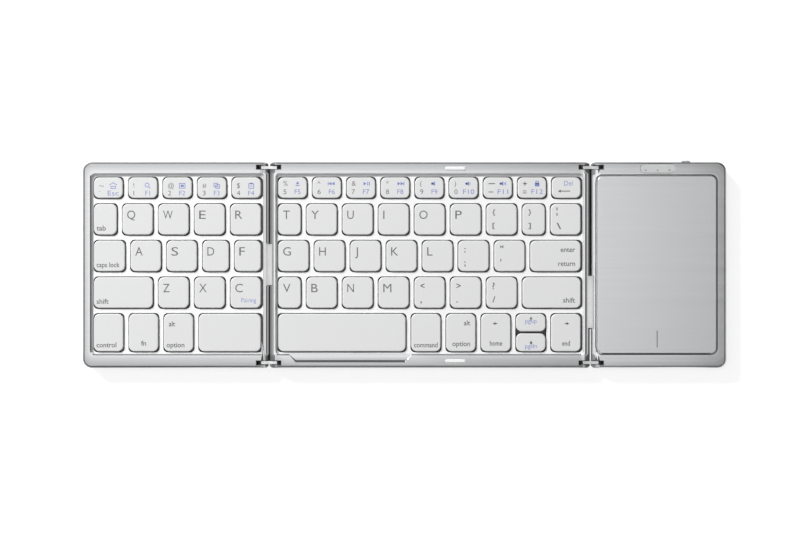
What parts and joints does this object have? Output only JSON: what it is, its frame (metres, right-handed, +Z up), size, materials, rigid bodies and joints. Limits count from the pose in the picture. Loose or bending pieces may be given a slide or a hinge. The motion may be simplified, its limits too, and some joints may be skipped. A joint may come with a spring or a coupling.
{
  "type": "folding keyboard",
  "caption": "Pocket keyboard that folds in three, with white keys in a long middle section and the left wing, and a touchpad in the right wing.",
  "frame": {"origin": "on the table, under the centre of the open keyboard's footprint", "axes": "+X along the keyboard to the touchpad, +Y to the number row, +Z up through the keys"},
  "size_m": [0.3066, 0.099, 0.0087],
  "materials": {
    "frame_metal": "fine brushed, silver",
    "cover_metal": "satin, silver grey",
    "keycap_plastic": "smooth matt, white",
    "web_plastic": "matt, white",
    "plate_steel": "rolled sheet",
    "membrane_film": "printed film",
    "dome_rubber": "milky silicone",
    "scissor_plastic": "moulded, grey",
    "foot_rubber": "matt black",
    "screw_steel": "turned",
    "pad_rubber": "soft white",
    "magnet_nickel": "nickel plated",
    "touchpad_film": "fine brushed look, light grey",
    "board_green": "solder mask",
    "battery_pouch": "foil pouch",
    "window_plastic": "gloss, light grey",
    "socket_steel": "plated shell",
    "button_metal": "satin, silver",
    "link_steel": "polished",
    "pin_steel": "ground",
    "bridge_plastic": "matt black",
    "ribbon_film": "white flexible film"
  },
  "bodies": {
    "middle": {"middle_bottom_cover": "cover_metal", "middle_top_frame": "frame_metal", "middle_key_web": "web_plastic", "middle_support_plate": "plate_steel", "middle_membrane": "membrane_film", "middle_domes": "dome_rubber", "middle_scissors": "scissor_plastic", "middle_feet": "foot_rubber", "middle_screws": "screw_steel", "bumper_pads": "pad_rubber"},
    "left_wing": {"left_bottom_cover": "cover_metal", "left_top_frame": "frame_metal", "left_key_web": "web_plastic", "left_support_plate": "plate_steel", "left_membrane": "membrane_film", "left_domes": "dome_rubber", "left_scissors": "scissor_plastic", "left_feet": "foot_rubber", "left_screws": "screw_steel", "left_magnets": "magnet_nickel"},
    "right_wing": {"right_bottom_cover": "cover_metal", "right_top_frame": "frame_metal", "main_board": "board_green", "battery": "battery_pouch", "indicator_window": "window_plastic", "charge_socket": "socket_steel", "right_feet": "foot_rubber", "right_screws": "screw_steel", "right_magnets": "magnet_nickel"},
    "left_link": {"left_hinge_links": "link_steel", "left_hinge_pins": "pin_steel", "left_cable_bridge": "bridge_plastic", "left_ribbon_cable": "ribbon_film"},
    "right_link": {"right_hinge_links": "link_steel", "right_hinge_pins": "pin_steel", "right_cable_bridge": "bridge_plastic", "right_ribbon_cable": "ribbon_film"},
    "touchpad_plate": {"touchpad": "touchpad_film", "touchpad_sensor": "board_green"},
    "power_key": {"power_button": "button_metal"},
    "left_number_keys_body": {"left_number_keys": "keycap_plastic"},
    "tab_key_body": {"tab_key": "keycap_plastic"},
    "left_top_row_keys_body": {"left_top_row_keys": "keycap_plastic"},
    "left_home_row_keys_body": {"left_home_row_keys": "keycap_plastic"},
    "left_shift_key_body": {"left_shift_key": "keycap_plastic"},
    "left_lower_row_keys_body": {"left_lower_row_keys": "keycap_plastic"},
    "left_modifier_keys_body": {"left_modifier_keys": "keycap_plastic"},
    "left_space_key_body": {"left_space_key": "keycap_plastic"},
    "middle_number_keys_body": {"middle_number_keys": "keycap_plastic"},
    "middle_top_row_keys_body": {"middle_top_row_keys": "keycap_plastic"},
    "middle_home_row_keys_body": {"middle_home_row_keys": "keycap_plastic"},
    "enter_key_body": {"enter_key": "keycap_plastic"},
    "middle_lower_row_keys_body": {"middle_lower_row_keys": "keycap_plastic"},
    "right_shift_key_body": {"right_shift_key": "keycap_plastic"},
    "space_bar_body": {"space_bar": "keycap_plastic"},
    "middle_modifier_keys_body": {"middle_modifier_keys": "keycap_plastic"},
    "left_arrow_key_body": {"left_arrow_key": "keycap_plastic"},
    "up_arrow_key_body": {"up_arrow_key": "keycap_plastic"},
    "down_arrow_key_body": {"down_arrow_key": "keycap_plastic"},
    "right_arrow_key_body": {"right_arrow_key": "keycap_plastic"}
  },
  "joints": [
    {"name": "left_inner_fold", "type": "hinge", "parent": "middle", "child": "left_link", "pos_m": [-0.0605, 0, 0.0045], "axis": [0, 1, 0], "range_deg": [0, 90]},
    {"name": "left_outer_fold", "type": "hinge", "parent": "left_link", "child": "left_wing", "pos_m": [-0.0689, 0, 0.0045], "axis": [0, 1, 0], "range_deg": [0, 90]},
    {"name": "right_inner_fold", "type": "hinge", "parent": "middle", "child": "right_link", "pos_m": [0.0847, 0, 0.0045], "axis": [0, -1, 0], "range_deg": [0, 90]},
    {"name": "right_outer_fold", "type": "hinge", "parent": "right_link", "child": "right_wing", "pos_m": [0.0931, 0, 0.0045], "axis": [0, -1, 0], "range_deg": [0, 90]},
    {"name": "touchpad_click", "type": "slide", "parent": "right_wing", "child": "touchpad_plate", "axis": [0, 0, -1], "range_m": [0, 0.0003], "stiffness_N_per_m": 1500},
    {"name": "power_press", "type": "slide", "parent": "right_wing", "child": "power_key", "axis": [0, -1, 0], "range_m": [0, 0.0005], "stiffness_N_per_m": 600},
    {"name": "left_number_keys_press", "type": "slide", "parent": "left_wing", "child": "left_number_keys_body", "axis": [0, 0, -1], "range_m": [0, 0.0015], "stiffness_N_per_m": 400, "deforming": ["left_domes", "left_scissors"]},
    {"name": "tab_key_press", "type": "slide", "parent": "left_wing", "child": "tab_key_body", "axis": [0, 0, -1], "range_m": [0, 0.0015], "stiffness_N_per_m": 400, "deforming": ["left_domes", "left_scissors"]},
    {"name": "left_top_row_keys_press", "type": "slide", "parent": "left_wing", "child": "left_top_row_keys_body", "axis": [0, 0, -1], "range_m": [0, 0.0015], "stiffness_N_per_m": 400, "deforming": ["left_domes", "left_scissors"]},
    {"name": "left_home_row_keys_press", "type": "slide", "parent": "left_wing", "child": "left_home_row_keys_body", "axis": [0, 0, -1], "range_m": [0, 0.0015], "stiffness_N_per_m": 400, "deforming": ["left_domes", "left_scissors"]},
    {"name": "left_shift_key_press", "type": "slide", "parent": "left_wing", "child": "left_shift_key_body", "axis": [0, 0, -1], "range_m": [0, 0.0015], "stiffness_N_per_m": 400, "deforming": ["left_domes", "left_scissors"]},
    {"name": "left_lower_row_keys_press", "type": "slide", "parent": "left_wing", "child": "left_lower_row_keys_body", "axis": [0, 0, -1], "range_m": [0, 0.0015], "stiffness_N_per_m": 400, "deforming": ["left_domes", "left_scissors"]},
    {"name": "left_modifier_keys_press", "type": "slide", "parent": "left_wing", "child": "left_modifier_keys_body", "axis": [0, 0, -1], "range_m": [0, 0.0015], "stiffness_N_per_m": 400, "deforming": ["left_domes", "left_scissors"]},
    {"name": "left_space_key_press", "type": "slide", "parent": "left_wing", "child": "left_space_key_body", "axis": [0, 0, -1], "range_m": [0, 0.0015], "stiffness_N_per_m": 400, "deforming": ["left_domes", "left_scissors"]},
    {"name": "middle_number_keys_press", "type": "slide", "parent": "middle", "child": "middle_number_keys_body", "axis": [0, 0, -1], "range_m": [0, 0.0015], "stiffness_N_per_m": 400, "deforming": ["middle_domes", "middle_scissors"]},
    {"name": "middle_top_row_keys_press", "type": "slide", "parent": "middle", "child": "middle_top_row_keys_body", "axis": [0, 0, -1], "range_m": [0, 0.0015], "stiffness_N_per_m": 400, "deforming": ["middle_domes", "middle_scissors"]},
    {"name": "middle_home_row_keys_press", "type": "slide", "parent": "middle", "child": "middle_home_row_keys_body", "axis": [0, 0, -1], "range_m": [0, 0.0015], "stiffness_N_per_m": 400, "deforming": ["middle_domes", "middle_scissors"]},
    {"name": "enter_key_press", "type": "slide", "parent": "middle", "child": "enter_key_body", "axis": [0, 0, -1], "range_m": [0, 0.0015], "stiffness_N_per_m": 400, "deforming": ["middle_domes", "middle_scissors"]},
    {"name": "middle_lower_row_keys_press", "type": "slide", "parent": "middle", "child": "middle_lower_row_keys_body", "axis": [0, 0, -1], "range_m": [0, 0.0015], "stiffness_N_per_m": 400, "deforming": ["middle_domes", "middle_scissors"]},
    {"name": "right_shift_key_press", "type": "slide", "parent": "middle", "child": "right_shift_key_body", "axis": [0, 0, -1], "range_m": [0, 0.0015], "stiffness_N_per_m": 400, "deforming": ["middle_domes", "middle_scissors"]},
    {"name": "space_bar_press", "type": "slide", "parent": "middle", "child": "space_bar_body", "axis": [0, 0, -1], "range_m": [0, 0.0015], "stiffness_N_per_m": 400, "deforming": ["middle_domes", "middle_scissors"]},
    {"name": "middle_modifier_keys_press", "type": "slide", "parent": "middle", "child": "middle_modifier_keys_body", "axis": [0, 0, -1], "range_m": [0, 0.0015], "stiffness_N_per_m": 400, "deforming": ["middle_domes", "middle_scissors"]},
    {"name": "left_arrow_key_press", "type": "slide", "parent": "middle", "child": "left_arrow_key_body", "axis": [0, 0, -1], "range_m": [0, 0.0015], "stiffness_N_per_m": 400, "deforming": ["middle_domes", "middle_scissors"]},
    {"name": "up_arrow_key_press", "type": "slide", "parent": "middle", "child": "up_arrow_key_body", "axis": [0, 0, -1], "range_m": [0, 0.0015], "stiffness_N_per_m": 400, "deforming": ["middle_domes", "middle_scissors"]},
    {"name": "down_arrow_key_press", "type": "slide", "parent": "middle", "child": "down_arrow_key_body", "axis": [0, 0, -1], "range_m": [0, 0.0015], "stiffness_N_per_m": 400, "deforming": ["middle_domes", "middle_scissors"]},
    {"name": "right_arrow_key_press", "type": "slide", "parent": "middle", "child": "right_arrow_key_body", "axis": [0, 0, -1], "range_m": [0, 0.0015], "stiffness_N_per_m": 400, "deforming": ["middle_domes", "middle_scissors"]}
  ],
  "couplings": [
    {"joint": "left_outer_fold", "follows": "left_inner_fold", "ratio": 1},
    {"joint": "right_outer_fold", "follows": "right_inner_fold", "ratio": 1}
  ]
}
